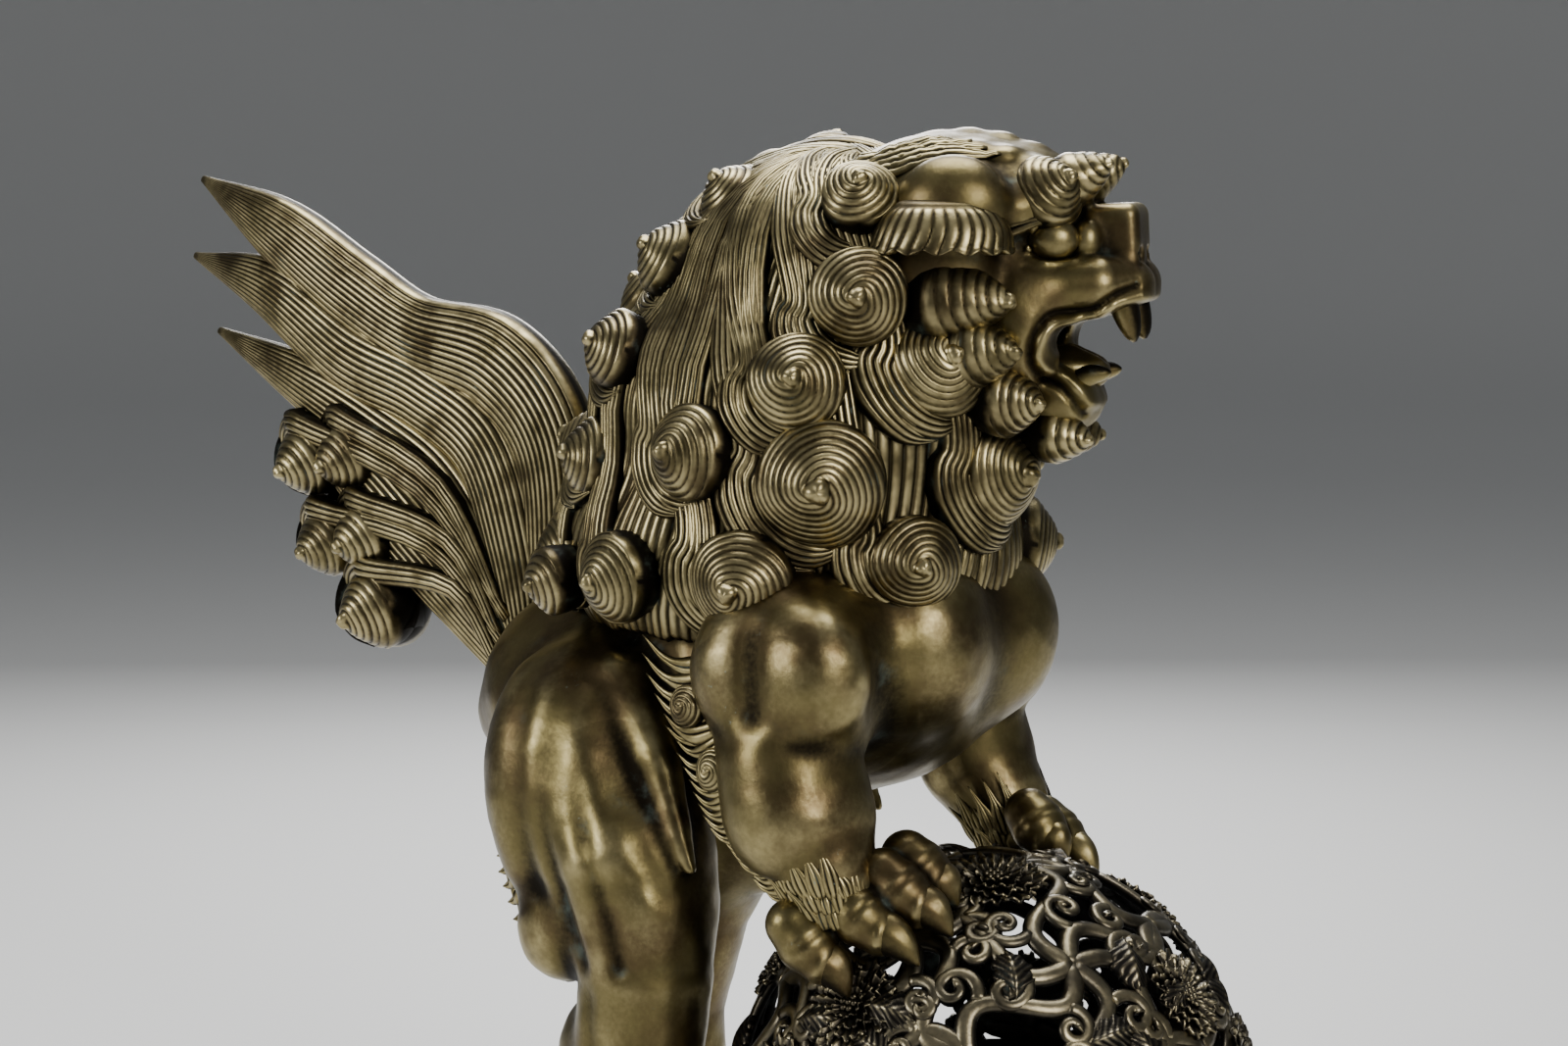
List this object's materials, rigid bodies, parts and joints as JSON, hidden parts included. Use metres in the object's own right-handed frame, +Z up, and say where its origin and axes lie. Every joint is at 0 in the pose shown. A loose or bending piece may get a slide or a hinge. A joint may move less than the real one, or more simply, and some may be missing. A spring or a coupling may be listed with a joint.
{
  "type": "foo dog statue",
  "caption": "Hollow bronze guardian lion with a curled mane and a flame-shaped tail, standing with its front paws on an openwork ball.",
  "frame": {"origin": "bottom centre of the bounding box, on the surface that the hind feet and the ball stand on", "axes": "+X the way the lion faces, +Y to the lion's left, +Z up"},
  "size_m": [0.4983, 0.1984, 0.452],
  "materials": {
    "bronze": "patinated bronze, rubbed golden on high places",
    "dark_bronze": "dark gunmetal patina with worn edges",
    "brass": "plain brass fittings"
  },
  "bodies": {
    "statue": {"torso_casting": "bronze", "right_front_leg": "bronze", "left_front_leg": "bronze", "right_hind_leg": "bronze", "left_hind_leg": "bronze", "mane_casting": "bronze", "tail_socket": "brass", "front_mane_pin_right": "brass", "front_mane_pin_left": "brass", "rear_mane_pin_right": "brass", "rear_mane_pin_left": "brass", "head_casting": "bronze", "lower_jaw": "bronze", "tongue": "bronze", "right_ear": "bronze", "right_eye": "brass", "right_upper_fang": "bronze", "right_lower_fang": "bronze", "left_ear": "bronze", "left_eye": "brass", "left_upper_fang": "bronze", "left_lower_fang": "bronze"},
    "tail": {"tail_plume": "bronze", "tail_tenon": "brass"},
    "ball": {"ball_upper_shell": "dark_bronze", "ball_lower_shell": "dark_bronze", "ball_seam_ring": "dark_bronze", "peony_front": "dark_bronze", "peony_right_front": "dark_bronze", "peony_left_front": "dark_bronze", "peony_right_back": "dark_bronze", "peony_left_back": "dark_bronze", "peony_back": "dark_bronze", "right_paw_peg": "brass", "left_paw_peg": "brass"}
  },
  "joints": [
    {"name": "tail_lift", "type": "slide", "parent": "statue", "child": "tail", "axis": [-0.5, 0, 0.866], "range_m": [0, 0.09]},
    {"name": "ball_release", "type": "slide", "parent": "statue", "child": "ball", "axis": [0, 0, -1], "range_m": [0, 0.2]}
  ]
}
